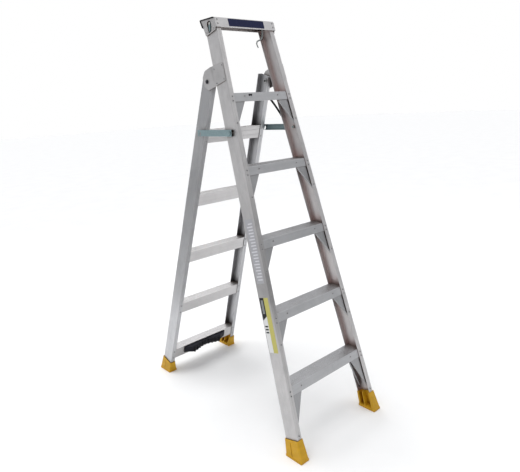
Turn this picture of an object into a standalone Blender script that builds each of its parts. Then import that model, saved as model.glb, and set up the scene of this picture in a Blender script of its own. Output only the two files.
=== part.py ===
"""A dual-purpose aluminium ladder: a stepladder whose rear section swings up into an extension ladder.

Metres, +Z up. The origin is on the ground under the middle of the ladder, the treads run along X, and the
climber stands on the -Y side. Each section leans, so its pieces are given in the section's own axes:
x across, d behind the face of its stiles, and s up its slope from the ground.
"""

import math

import bmesh
import bpy
from mathutils import Matrix, Vector

# The whole ladder
FOOTPRINT_DEPTH = 1.1587  # toe of the front feet to heel of the rear feet
CAP_HEIGHT = 1.805
TREAD_PITCH = 0.300
GAP = 0.0003  # left between pieces that touch
SIDES = {"left": -1, "right": 1}

# Stiles: channels that open towards the middle of the ladder
FLANGE = 0.0245
WEB_WALL = 0.0022
FLANGE_WALL = 0.0026
FRONT_LEAN = math.radians(15.6)
FRONT_HALF_WIDTH = 0.2655  # outer, where the slope meets the ground
FRONT_TAPER = 0.0561  # half width lost for each metre up the slope
FRONT_DEPTH = 0.0735
FRONT_STILE_ENDS = (0.0300, 1.8640)
REAR_LEAN = math.radians(19.0)
REAR_HALF_WIDTH = 0.2322
REAR_TAPER = 0.0369
REAR_DEPTH = 0.0690
REAR_STILE_ENDS = (0.0120, 1.6590)

# Treads and rungs
TREADS = 5
TREAD_LEG = 0.0370
TREAD_WALL = 0.0025
TREAD_PLATE = 0.0036
RIB_HEIGHT = 0.0007
TREAD_RIBS = 11
NOSING = 0.0030  # radius of the front edge
TREAD_INSET = 0.0031  # apron behind the face of the stiles
RUNGS = 5
LOWEST_RUNG = 0.1425
RUNG_PITCH = 0.3022
RUNG_HEIGHT = 0.0596
RUNG_WALL = 0.0024
RUNG_RIBS = 7
RUNG_GROOVE = 0.0006

# Knee braces
BRACE_WALL = 0.0020
BRACE_TOP = 0.0220  # riveted behind the apron
BRACE_DROP = 0.1120
BRACE_REACH = 0.0800
BRACE_LIP = 0.0090
LOW_BRACE_END = 0.1070
REAR_BRACE_REACH = 0.0480

# Hinge between the sections
PIVOT_D = 0.1245
PIVOT_S = 1.6485
HINGE_PLATE = 0.0030
HINGE_FOOT = 1.6120
HINGE_BEND = (0.0750, 0.0830)  # ahead of it the plate lies on the stile, and behind it stands upright
HINGE_BOLT_RADIUS = 0.0050
RUNNING = 0.0003

# Spreader arms
SPREADER_D = 0.0358
SPREADER_S = 1.4003
ARM_FRONT = 0.0120  # ahead of its bolt
ARM_REAR = 0.2265
ARM_HEIGHT = 0.0280
ARM_DEPTH = 0.0090
ARM_WALL = 0.0020
ARM_INNER = 0.1895
STUD_D = 0.0101
STUD_S = 1.4148
STUD_END = 0.1885

# Top cap and its locks
CAP_FRONT_D = -0.0065
CAP_REAR_D = 0.0835
CAP_FRONT_LEG = 0.0400
CAP_REAR_LEG = 0.0375
CAP_HALF_WIDTH = 0.1660
END_WALL = 0.0022
END_FOOT = 1.8230
TRIM = 0.0055
TRIM_SINK = 0.0042  # how far the edging reaches below the face of the cap
TRIM_RISE = 0.0012
TRIM_START = 0.0060  # behind the front of the cap
LOCK_D = 0.0340
LOCK_S = 1.8620
LOCK_PIN_RADIUS = 0.0030

# Feet
FRONT_FOOT = {"out": 0.0115, "in": 0.0373, "toe": 0.0075, "heel": 0.0857, "top": 0.093}
REAR_FOOT = {"out": 0.0084, "in": 0.0419, "toe": 0.0138, "heel": 0.0820, "top": 0.0640}
SOLE = 0.008
SOLE_LEDGE = 0.0016
FOOT_WALL = 0.0035
FOOT_OUTER_WALL = 0.0050
FOOT_CORNER = 0.0045
MOUTH_DEPTH = 0.0080  # the boot stands off the web at its mouth
MOUTH_GAP = 0.0028
GROOVE_DEPTH = 0.0013  # of the line moulded down the outer face
GROOVE_WIDTH = 0.0050
SLOT_GAP = 0.0006

# Support for leaning the extended ladder on a tree or a pole
SUPPORT_HALF = 0.1435
SUPPORT_SHOULDER = 0.0955
SUPPORT_ENDS = (0.1045, 0.1430)  # along the rear section's slope
SUPPORT_LIP = 0.0060
SUPPORT_PEAK = 0.0270
SUPPORT_VALLEY = 0.0035
PAD_WALL = 0.0050
TOOTH_HEIGHT = 0.0045
TEETH = 9

# Retaining strap behind the right stile
STRAP_RADIUS = 0.0046


class Section:
    """One leaning half of the ladder, with an empty that its pieces hang from."""

    def __init__(self, name, y, lean, half_width, taper, depth, ends):
        self.name = name
        self.y = y
        self.lean = lean
        self.half_width = half_width
        self.taper = taper
        self.depth = depth
        self.ends = ends
        self.rig = None
        self.origin = (0.0, 0.0)

    def half_at(self, s):
        """Outer half width at a place on the slope."""
        return self.half_width - self.taper * s

    def level(self, z, d):
        """Where the height z lies on the slope, at depth d."""
        return (z + d * math.sin(self.lean)) / math.cos(self.lean)

    def world(self, d, s):
        """World y and z of a depth and a slope position."""
        y = self.y + d * math.cos(self.lean) + s * math.sin(self.lean)
        return y, s * math.cos(self.lean) - d * math.sin(self.lean)

    def own(self, y, z):
        """Depth and slope position of a world y and z."""
        away = y - self.y
        d = away * math.cos(self.lean) - z * math.sin(self.lean)
        return d, away * math.sin(self.lean) + z * math.cos(self.lean)

    def hang(self, piece, x=0.0, d=0.0, s=0.0, tilt=0.0):
        """Places a piece whose mesh is drawn about (x, d, s), turned by tilt about the section's d axis."""
        piece.parent = self.rig
        piece.location = (x, d - self.origin[0], s - self.origin[1])
        piece.rotation_euler = (0.0, tilt, 0.0)
        return piece


FRONT = Section(
    "front_section",
    FRONT_FOOT["toe"] - FOOTPRINT_DEPTH / 2,
    FRONT_LEAN,
    FRONT_HALF_WIDTH,
    FRONT_TAPER,
    FRONT_DEPTH,
    FRONT_STILE_ENDS,
)
REAR = Section(
    "rear_section",
    FOOTPRINT_DEPTH / 2 - REAR_FOOT["heel"],
    -REAR_LEAN,
    REAR_HALF_WIDTH,
    REAR_TAPER,
    REAR_DEPTH,
    REAR_STILE_ENDS,
)


# ---------------------------------------------------------------- scene

def new_collection(name):
    group = bpy.data.collections.new(name)
    bpy.context.scene.collection.children.link(group)
    return group


def clear_scene():
    for old in list(bpy.data.objects):
        bpy.data.objects.remove(old, do_unlink=True)
    for old in list(bpy.data.collections):
        bpy.data.collections.remove(old)


def new_material(name, colour, roughness, metallic):
    material = bpy.data.materials.new(name)
    material.use_nodes = True
    shader = material.node_tree.nodes["Principled BSDF"]
    shader.inputs["Base Color"].default_value = (*colour, 1.0)
    shader.inputs["Roughness"].default_value = roughness
    shader.inputs["Metallic"].default_value = metallic
    return material


clear_scene()
PARTS = new_collection("dual_purpose_ladder")
CUTTERS = new_collection("cutters")

LOOKS = {
    "aluminium": ((0.62, 0.61, 0.62), 0.42, 0.9),
    "galvanised": ((0.42, 0.50, 0.50), 0.45, 0.8),
    "zinc": ((0.60, 0.60, 0.58), 0.35, 0.9),
    "yellow_plastic": ((0.66, 0.38, 0.05), 0.45, 0.0),
    "black_rubber": ((0.02, 0.02, 0.03), 0.7, 0.0),
    "black_plastic": ((0.015, 0.015, 0.025), 0.5, 0.0),
}


def paint(piece, look):
    """Gives a piece a material of its own."""
    colour, roughness, metallic = LOOKS[look]
    piece.data.materials.clear()
    piece.data.materials.append(new_material(piece.name + "_" + look, colour, roughness, metallic))
    return piece


# ---------------------------------------------------------------- outlines

def rounded(corners, radius, steps=3):
    """An outline with each corner turned into an arc; a corner may carry its own radius as a third number."""
    outline = []
    count = len(corners)
    for i, corner in enumerate(corners):
        here = Vector(corner[:2])
        to_last = Vector(corners[i - 1][:2]) - here
        to_next = Vector(corners[(i + 1) % count][:2]) - here
        own_radius = corner[2] if len(corner) > 2 else radius
        half = to_last.angle(to_next) / 2
        reach = min(own_radius / math.tan(half), 0.45 * min(to_last.length, to_next.length))
        if reach < 1e-5 or half > math.radians(88):
            outline.append(tuple(here))
            continue
        bend = reach * math.tan(half)
        middle = here + (to_last.normalized() + to_next.normalized()).normalized() * bend / math.sin(half)
        start = here + to_last.normalized() * reach - middle
        turn = start.angle_signed(here + to_next.normalized() * reach - middle)
        for k in range(steps + 1):
            angle = -turn * k / steps
            outline.append(tuple(middle + Matrix.Rotation(angle, 2) @ start))
    return outline


def circle(a, b, radius, count=20):
    """A round outline about (a, b)."""
    turn = 2 * math.pi / count
    return [(a + radius * math.cos(i * turn), b + radius * math.sin(i * turn)) for i in range(count)]


def stroke(path, widths):
    """The outline of a band that follows a path, with a width at each of its points."""
    ahead = []
    behind = []
    for i, place in enumerate(path):
        here = Vector(place)
        last = Vector(path[max(i - 1, 0)])
        following = Vector(path[min(i + 1, len(path) - 1)])
        along = (following - last).normalized()
        across = Vector((-along.y, along.x)) * widths[i] / 2
        ahead.append(tuple(here + across))
        behind.append(tuple(here - across))
    return ahead + behind[::-1]


def channel(depth, flange, web, wall, side, groove=0.0, grow=0.0):
    """A stile's section in x and y: web outside, flanges pointing in, drawn from the web's outer face."""
    tip = flange + grow
    shape = [(-grow, -grow, 0.0020)]
    if groove:
        middle = flange * 0.52
        shape += [(middle - 0.0013, 0.0, 0), (middle, groove, 0), (middle + 0.0013, 0.0, 0)]
    shape += [
        (tip, -grow, 0.0009),
        (tip, wall + grow, 0.0009),
        (web + grow, wall + grow, 0.0010),
        (web + grow, depth - wall - grow, 0.0010),
        (tip, depth - wall - grow, 0.0009),
        (tip, depth + grow, 0.0009),
    ]
    if groove:
        shape += [(middle + 0.0013, depth, 0), (middle, depth - groove, 0), (middle - 0.0013, depth, 0)]
    shape.append((-grow, depth + grow, 0.0020))
    return [(-side * a, b) for a, b in rounded(shape, 0.001, 2)]


# ---------------------------------------------------------------- solids

AXIS_TURN = {
    "x": Matrix(((0, 0, 1, 0), (1, 0, 0, 0), (0, 1, 0, 0), (0, 0, 0, 1))),
    "y": Matrix(((1, 0, 0, 0), (0, 0, -1, 0), (0, 1, 0, 0), (0, 0, 0, 1))),
    "z": Matrix.Identity(4),
}


def tidy_mesh(mesh):
    """Joins loose caps to their sides and points the faces out."""
    work = bmesh.new()
    work.from_mesh(mesh)
    bmesh.ops.remove_doubles(work, verts=work.verts, dist=1e-6)
    bmesh.ops.recalc_face_normals(work, faces=work.faces)
    work.to_mesh(mesh)
    work.free()
    mesh.shade_smooth()
    mesh.set_sharp_from_angle(angle=math.radians(32))
    return mesh


def mesh_of(rough):
    """The evaluated mesh of a rough object, which is then thrown away."""
    bpy.context.scene.collection.objects.link(rough)
    evaluated = rough.evaluated_get(bpy.context.evaluated_depsgraph_get())
    mesh = tidy_mesh(bpy.data.meshes.new_from_object(evaluated))
    bpy.data.objects.remove(rough, do_unlink=True)
    return mesh


def piece_of(name, mesh, look):
    """A finished piece, or a cutter where look is None."""
    piece = bpy.data.objects.new(name, mesh)
    mesh.name = name
    if look is None:
        CUTTERS.objects.link(piece)
        piece.hide_render = True
        piece.display_type = "WIRE"
        return piece
    PARTS.objects.link(piece)
    return paint(piece, look)


def prism(name, outline, length, axis, look, holes=()):
    """A flat outline drawn out along an axis, half to each side. Along x it lies in y and z, and so on."""
    curve = bpy.data.curves.new(name + "_outline", "CURVE")
    curve.dimensions = "2D"
    curve.fill_mode = "BOTH"
    curve.extrude = length / 2
    for loop in (outline, *holes):
        spline = curve.splines.new("POLY")
        spline.points.add(len(loop) - 1)
        for point, (a, b) in zip(spline.points, loop):
            point.co = (a, b, 0.0, 1.0)
        spline.use_cyclic_u = True
    mesh = mesh_of(bpy.data.objects.new(name + "_outline", curve))
    mesh.transform(AXIS_TURN[axis])
    return piece_of(name, mesh, look)


def turned(name, profile, look, steps=20):
    """A shape turned about x: its profile is (x, radius) from one end of the axis to the other."""
    mesh = bpy.data.meshes.new(name + "_profile")
    points = [(x, radius, 0.0) for x, radius in profile]
    mesh.from_pydata(points, [(i, i + 1) for i in range(len(points) - 1)], [])
    rough = bpy.data.objects.new(name + "_profile", mesh)
    spin = rough.modifiers.new("Spin", "SCREW")
    spin.axis = "X"
    spin.angle = 2 * math.pi
    spin.steps = steps
    spin.render_steps = steps
    spin.use_merge_vertices = True
    spin.merge_threshold = 1e-6
    return piece_of(name, mesh_of(rough), look)


def boolean(piece, other, operation="DIFFERENCE"):
    """Cuts or joins with another object, which goes among the cutters."""
    step = piece.modifiers.new(other.name, "BOOLEAN")
    step.operation = operation
    step.solver = "EXACT"
    step.object = other
    return piece


def drill(piece, section, side, d, s, radius, reach=(0.10, 0.30)):
    """A round hole along x through a piece that hangs in a section."""
    cutter = prism(piece.name + "_hole", circle(0, 0, radius), reach[1] - reach[0], "x", None)
    section.hang(cutter, side * sum(reach) / 2, d, s)
    return boolean(piece, cutter)


# ---------------------------------------------------------------- stiles, treads and rungs

def make_stile(section, side_name):
    side = SIDES[side_name]
    low, high = section.ends
    outline = channel(section.depth, FLANGE, WEB_WALL, FLANGE_WALL, side, groove=0.0008)
    name = section.name.split("_")[0] + "_stile_" + side_name
    stile = prism(name, outline, high - low, "z", "aluminium")
    middle = (low + high) / 2
    return section.hang(stile, side * section.half_at(middle), 0.0, middle, -side * math.atan(section.taper))


def ribs(start, end, count, top, height):
    """Points of a ribbed face from start to end; top gives the slope position of a depth and a drop."""
    pitch = (end - start) / (2 * count - 1)
    points = []
    for i in range(count - 1):
        a = start + (2 * i + 1) * pitch
        b = a + pitch
        points += [(a, top(a, 0.0)), (a, top(a, height)), (b, top(b, height)), (b, top(b, 0.0))]
    return points


def tread_outline(section, height, front, back, front_leg, rear_leg):
    """A ribbed plate with a rounded nosing and an apron in front and behind, level when the section leans."""

    def top(d, drop):
        return section.level(height - drop, d)

    foot = (front, top(front, 0) - front_leg)
    inward = front + 0.02
    outline = rounded([foot, (front, top(front, 0), NOSING), (inward, top(inward, 0))], 0.0, 4)[:-1]
    outline += ribs(front, back, TREAD_RIBS, top, RIB_HEIGHT)
    outline += [(back, top(back, 0)), (back, top(back, 0) - rear_leg)]
    inside_back = back - TREAD_WALL
    inside_front = front + TREAD_WALL
    outline += [(inside_back, top(back, 0) - rear_leg), (inside_back, top(inside_back, TREAD_PLATE))]
    outline += [(inside_front, top(inside_front, TREAD_PLATE)), (inside_front, top(front, 0) - front_leg)]
    return outline


def make_tread(number):
    """Tread 1 is the lowest."""
    height = TREAD_PITCH * number
    front = TREAD_INSET
    back = FRONT.depth - TREAD_INSET
    half = FRONT.half_at(FRONT.level(height, back)) - WEB_WALL - 2 * GAP
    outline = tread_outline(FRONT, height, front, back, TREAD_LEG, TREAD_LEG)
    return FRONT.hang(prism(f"tread_{number}", outline, 2 * half, "x", "aluminium"))


def rung_outline(section, height, front, back, inset):
    """A box rung, ribbed above and below and grooved along both faces; inset gives its plain inside."""

    def top(d, drop):
        return section.level(height - drop, d)

    def bottom(d, rise):
        return section.level(height - RUNG_HEIGHT + rise, d)

    front += inset
    back -= inset
    if inset:
        plate = inset + RIB_HEIGHT
        return [
            (front, bottom(front, plate)),
            (front, top(front, plate)),
            (back, top(back, plate)),
            (back, bottom(back, plate)),
        ]
    outline = [(front, bottom(front, 0))]
    for share in (0.30, 0.70):
        groove = bottom(front, 0) + share * (top(front, 0) - bottom(front, 0))
        outline += [(front, groove - 0.0014), (front + RUNG_GROOVE, groove), (front, groove + 0.0014)]
    outline.append((front, top(front, 0)))
    outline += ribs(front, back, RUNG_RIBS, top, RIB_HEIGHT)
    outline.append((back, top(back, 0)))
    for share in (0.70, 0.30):
        groove = bottom(back, 0) + share * (top(back, 0) - bottom(back, 0))
        outline += [(back, groove + 0.0014), (back - RUNG_GROOVE, groove), (back, groove - 0.0014)]
    outline.append((back, bottom(back, 0)))
    return outline + ribs(front, back, RUNG_RIBS, bottom, RIB_HEIGHT)[::-1]


def make_rung(number):
    """Rung 1 is the lowest."""
    height = LOWEST_RUNG + RUNG_PITCH * (number - 1)
    front = TREAD_INSET
    back = REAR.depth - TREAD_INSET
    half = REAR.half_at(REAR.level(height, front)) - WEB_WALL - 2 * GAP
    outer = rung_outline(REAR, height, front, back, 0.0)
    inner = rung_outline(REAR, height, front, back, RUNG_WALL)
    return REAR.hang(prism(f"rung_{number}", outer, 2 * half, "x", "aluminium", holes=(inner,)))


# ---------------------------------------------------------------- knee braces

def make_brace(name, side, level, low, reach, d, lip_way):
    """A gusset behind an apron and a flange, from level, the apron's lower edge, down to low on the slope.

    d is the middle of its plate, and its lip turns to lip_way along d.
    """
    stile = FRONT

    def inside(s):
        return stile.half_at(s) - WEB_WALL - 3 * GAP

    high = level + BRACE_TOP
    inner_high = stile.half_at(level) - reach
    inner_low = stile.half_at(low) - 0.0125
    foot = low - 0.010
    shape = [
        (inside(high), high),
        (inner_high, high),
        (inner_high, level),
        (inner_low, low),
        (inner_low, foot),
        (inside(high) + stile.taper * (high - foot), foot),
    ]
    outline = [(side * a, b) for a, b in rounded(shape, 0.003, 2)]
    plate = prism(name, outline, BRACE_WALL, "y", "aluminium")
    slope = Vector((inner_low - inner_high, low - level)).normalized()
    across = Vector((-slope.y, slope.x)) * BRACE_WALL
    if across.x < 0:
        across = -across
    start = Vector((inner_high, level)) + slope * 0.004
    end = Vector((inner_low, low)) - slope * 0.004
    strip = [start, end, end + across, start + across]
    lip = prism(name + "_lip", [(side * p.x, p.y) for p in strip], BRACE_LIP, "y", None)
    FRONT.hang(lip, 0.0, d + lip_way * (BRACE_LIP - BRACE_WALL) / 2, 0.0)
    return FRONT.hang(boolean(plate, lip, "UNION"), 0.0, d, 0.0)


def make_braces():
    behind_apron = TREAD_INSET + TREAD_WALL + GAP + BRACE_WALL / 2
    for number in range(1, TREADS + 1):
        level = FRONT.level(TREAD_PITCH * number, TREAD_INSET) - TREAD_LEG
        low = LOW_BRACE_END + 0.010 if number == 1 else level - BRACE_DROP
        for side_name, side in SIDES.items():
            make_brace(f"tread_brace_{side_name}_{number}", side, level, low, BRACE_REACH, behind_apron, 1)
    back = FRONT.depth - TREAD_INSET
    level = FRONT.level(TREAD_PITCH, back) - TREAD_LEG
    for side_name, side in SIDES.items():
        d = FRONT.depth - behind_apron
        make_brace(f"rear_brace_{side_name}", side, level, LOW_BRACE_END + 0.010, REAR_BRACE_REACH, d, -1)


# ---------------------------------------------------------------- top cap and its locks

def cap_edge(d):
    return FRONT.level(CAP_HEIGHT, d)


def make_cap():
    outline = tread_outline(FRONT, CAP_HEIGHT, CAP_FRONT_D, CAP_REAR_D, CAP_FRONT_LEG, CAP_REAR_LEG)
    return FRONT.hang(prism("top_cap", outline, 2 * CAP_HALF_WIDTH, "x", "aluminium"))


def end_corners():
    """Corners of a cap end: top edge under the edging, slanting rear edge and foot on the stile."""
    apron_foot = cap_edge(CAP_FRONT_D) - CAP_FRONT_LEG
    rear_foot = FRONT.own(FRONT.y + 0.575, 1.773)
    return [
        (CAP_FRONT_D, cap_edge(CAP_FRONT_D) - TRIM_SINK - GAP),
        (CAP_FRONT_D, apron_foot),
        (0.0020, apron_foot - 0.0020),
        (0.0020, END_FOOT),
        (FRONT.depth - 0.0020, END_FOOT),
        rear_foot,
        (CAP_REAR_D, cap_edge(CAP_REAR_D) - TRIM_SINK - GAP),
    ]


def make_cap_end(side_name):
    """The side plate of the cap, with a window over the lock's lever, and its rubber edging."""
    side = SIDES[side_name]
    corners = end_corners()
    window = [(0.021, 1.8270, 0.002), (0.049, 1.8270, 0.002), (0.049, 1.8725, 0.012), (0.021, 1.8725, 0.012)]
    holes = (rounded(window, 0.002, 4),)
    end = prism(f"cap_end_{side_name}", rounded(corners, 0.0015, 2), END_WALL, "x", "aluminium", holes)
    x = CAP_HALF_WIDTH + GAP + END_WALL / 2
    FRONT.hang(end, side * x)

    start = CAP_FRONT_D + TRIM_START
    front_top = cap_edge(start)
    rear_top = cap_edge(CAP_REAR_D)
    rear_low = (corners[5][0] + GAP, corners[5][1])
    strip = [
        (start, front_top - TRIM_SINK),
        (CAP_REAR_D + GAP, rear_top - TRIM_SINK),
        rear_low,
        (rear_low[0] + TRIM, rear_low[1]),
        (CAP_REAR_D + TRIM, rear_top + TRIM_RISE, 0.004),
        (start, front_top + TRIM_RISE),
    ]
    trim = prism(f"cap_trim_{side_name}", rounded(strip, 0.0004, 3), 2 * END_WALL, "x", "black_rubber")
    return FRONT.hang(trim, side * (CAP_HALF_WIDTH + GAP + END_WALL))


def make_lock(side_name):
    """A hook inside the stiles and a lever outside, on one pin through the stile's web."""
    side = SIDES[side_name]
    rig = bpy.data.objects.new("lock_axis_" + side_name, None)
    PARTS.objects.link(rig)
    FRONT.hang(rig, 0.0, LOCK_D, LOCK_S)

    web = FRONT.half_at(LOCK_S)
    hook_x = web - FLANGE - 0.0022
    lever_x = FRONT.half_at(END_FOOT) + 0.0014
    hole = circle(0, 0, LOCK_PIN_RADIUS + RUNNING, 12)

    path = [(-0.003, 0.006), (0.0, 0.0), (0.006, -0.014), (0.011, -0.029), (0.019, -0.040), (0.031, -0.0435)]
    path += [(0.044, -0.0420), (0.0545, -0.0415), (0.0605, -0.0475), (0.0610, -0.0570), (0.0565, -0.0700)]
    widths = [0.009, 0.014, 0.011, 0.009, 0.008, 0.007, 0.006, 0.006, 0.006, 0.0055, 0.0045]
    hook = prism("lock_hook_" + side_name, stroke(path, widths), 0.0025, "x", "galvanised", holes=(hole,))
    hook.location.x = side * hook_x

    path = [(-0.004, 0.0055), (0.0, 0.0), (0.006, -0.014), (0.012, -0.030)]
    blade = stroke(path, [0.008, 0.013, 0.011, 0.009])
    lever = prism("lock_lever_" + side_name, blade, 0.0018, "x", "galvanised", holes=(hole,))
    lever.location.x = side * lever_x

    inner = hook_x - 0.0035
    head = lever_x + 0.0013
    radius = LOCK_PIN_RADIUS
    profile = [
        (inner, 0.0),
        (inner, radius),
        (head, radius),
        (head, 0.0052),
        (head + 0.0012, 0.0052),
        (head + 0.0024, 0.0038),
        (head + 0.0028, 0.0),
    ]
    pin = turned("lock_pin_" + side_name, [(side * x, r) for x, r in profile], "zinc", 16)
    for piece in (hook, lever, pin):
        piece.parent = rig
    return rig


# ---------------------------------------------------------------- hinge

def hinge_plate_x():
    """The rear halves of the plates stand upright, outside the widest part of the stiles that they join."""
    return FRONT.half_at(HINGE_FOOT) + 2 * GAP + HINGE_PLATE / 2


def bend_plate(mesh, side):
    """Sets the front half of a hinge plate along the tapering stile."""
    start, end = HINGE_BEND
    work = bmesh.new()
    work.from_mesh(mesh)
    for d in HINGE_BEND:
        everything = work.verts[:] + work.edges[:] + work.faces[:]
        bmesh.ops.bisect_plane(work, geom=everything, plane_co=(0, d, 0), plane_no=(0, 1, 0))
    for vertex in work.verts:
        share = min(max((end - vertex.co.y) / (end - start), 0.0), 1.0)
        vertex.co.x -= side * FRONT.taper * (vertex.co.z - HINGE_FOOT) * share
    bmesh.ops.triangulate(work, faces=work.faces)
    work.to_mesh(mesh)
    work.free()
    tidy_mesh(mesh)


def make_hinge(side_name):
    side = SIDES[side_name]
    shape = [
        (0.0030, HINGE_FOOT, 0.004),
        (0.1290, HINGE_FOOT, 0.012),
        (0.1500, 1.6340, 0.012),
        (0.1510, 1.6720, 0.018),
        (0.1260, 1.6950, 0.020),
        (0.0730, 1.6965, 0.010),
        (0.0030, 1.6860, 0.004),
    ]
    x = hinge_plate_x()
    hole = circle(PIVOT_D, PIVOT_S, HINGE_BOLT_RADIUS + RUNNING)
    plate = prism(
        f"hinge_plate_{side_name}", rounded(shape, 0.004, 5), HINGE_PLATE, "x", "aluminium", holes=(hole,)
    )
    bend_plate(plate.data, side)
    FRONT.hang(plate, side * x)

    outside = x + HINGE_PLATE / 2 + GAP
    inside = REAR.half_at(REAR_STILE_ENDS[1]) - 0.0150
    radius = HINGE_BOLT_RADIUS
    profile = [
        (inside, 0.0),
        (inside, radius - 0.0008),
        (inside + 0.0008, radius),
        (outside, radius),
        (outside, 0.0085),
        (outside + 0.0030, 0.0082),
        (outside + 0.0050, 0.0055),
        (outside + 0.0054, 0.0),
    ]
    bolt = turned(f"hinge_bolt_{side_name}", [(side * a, r) for a, r in profile], "zinc")
    FRONT.hang(bolt, 0.0, PIVOT_D, PIVOT_S)

    hexagon = circle(0, 0, 0.0095, 6)
    thread = circle(0, 0, radius + RUNNING)
    nut = prism(f"hinge_nut_{side_name}", rounded(hexagon, 0.001, 1), 0.0065, "x", "zinc", holes=(thread,))
    return FRONT.hang(nut, side * (inside + 0.0055), PIVOT_D, PIVOT_S)


# ---------------------------------------------------------------- spreaders

def make_spreader(side_name):
    """A channel arm that pivots on the front stile and drops its notch over a stud on the rear stile."""
    side = SIDES[side_name]
    y, z = FRONT.world(SPREADER_D, SPREADER_S)
    rig = bpy.data.objects.new("spreader_axis_" + side_name, None)
    PARTS.objects.link(rig)
    rig.location = (0.0, y, z)

    outer = ARM_INNER + ARM_DEPTH
    half = ARM_HEIGHT / 2
    shape = [
        (outer, -half, 0.0025),
        (outer, half, 0.0025),
        (ARM_INNER, half, 0.0006),
        (ARM_INNER, half - ARM_WALL, 0.0006),
        (outer - ARM_WALL, half - ARM_WALL, 0.0010),
        (outer - ARM_WALL, ARM_WALL - half, 0.0010),
        (ARM_INNER, ARM_WALL - half, 0.0006),
        (ARM_INNER, -half, 0.0006),
    ]
    section = [(side * a, b) for a, b in rounded(shape, 0.001, 2)]
    arm = prism(f"spreader_{side_name}", section, ARM_FRONT + ARM_REAR, "y", "galvanised")
    arm.location = (0.0, (ARM_REAR - ARM_FRONT) / 2, 0.0)

    stud_y, stud_z = REAR.world(STUD_D, STUD_S)
    path = [(stud_y - y + 0.002, stud_z - z + 0.004), (stud_y - y, stud_z - z), (stud_y - y + 0.012, -0.030)]
    notch = prism(f"spreader_{side_name}_notch", stroke(path, [0.006, 0.0095, 0.0120]), 0.03, "x", None)
    notch.location = (side * outer, 0.0, 0.0)
    hole = prism(f"spreader_{side_name}_bolt_hole", circle(0, 0, 0.0043), 0.03, "x", None)
    hole.location = (side * outer, 0.0, 0.0)
    for cutter in (notch, hole):
        cutter.parent = rig
        boolean(arm, cutter)
    arm.parent = rig

    web = FRONT.half_at(SPREADER_S)
    inside = web - 0.0105
    profile = [
        (inside, 0.0),
        (inside, 0.0035),
        (inside + 0.0006, 0.0040),
        (outer + GAP, 0.0040),
        (outer + GAP, 0.0075),
        (outer + 0.0028, 0.0072),
        (outer + 0.0044, 0.0048),
        (outer + 0.0048, 0.0),
    ]
    bolt = turned(f"spreader_bolt_{side_name}", [(side * a, r) for a, r in profile], "zinc")
    FRONT.hang(bolt, 0.0, SPREADER_D, SPREADER_S)

    bush_start = web + 0.0010
    bush_end = outer - ARM_WALL - GAP
    bush = prism(
        f"spreader_bush_{side_name}",
        circle(0, 0, 0.0075),
        bush_end - bush_start,
        "x",
        "zinc",
        holes=(circle(0, 0, 0.0043),),
    )
    FRONT.hang(bush, side * (bush_start + bush_end) / 2, SPREADER_D, SPREADER_S)

    nut = prism(
        f"spreader_nut_{side_name}",
        rounded(circle(0, 0, 0.0080, 6), 0.0008, 1),
        0.0050,
        "x",
        "zinc",
        holes=(circle(0, 0, 0.0043),),
    )
    FRONT.hang(nut, side * (inside + 0.0040), SPREADER_D, SPREADER_S)

    stud_start = REAR.half_at(STUD_S) + 0.0005
    profile = [
        (stud_start, 0.0),
        (stud_start, 0.0065),
        (stud_start + 0.0015, 0.0065),
        (stud_start + 0.0015, 0.0040),
        (STUD_END - 0.0006, 0.0040),
        (STUD_END, 0.0034),
        (STUD_END, 0.0),
    ]
    stud = turned(f"spreader_stud_{side_name}", [(side * a, r) for a, r in profile], "zinc", 16)
    return REAR.hang(stud, 0.0, STUD_D, STUD_S)


# ---------------------------------------------------------------- feet

def loft(rings):
    """A closed mesh through rings of equally many points."""
    work = bmesh.new()
    loops = [[work.verts.new(point) for point in ring] for ring in rings]
    count = len(rings[0])
    for lower, upper in zip(loops, loops[1:]):
        for i in range(count):
            j = (i + 1) % count
            work.faces.new((lower[i], lower[j], upper[j], upper[i]))
    work.faces.new(loops[0][::-1])
    work.faces.new(loops[-1])
    bmesh.ops.triangulate(work, faces=work.faces)
    mesh = bpy.data.meshes.new("loft")
    work.to_mesh(mesh)
    work.free()
    return tidy_mesh(mesh)


def box_corners(x, y):
    return [(x[0], y[0]), (x[1], y[0]), (x[1], y[1]), (x[0], y[1])]


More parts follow.
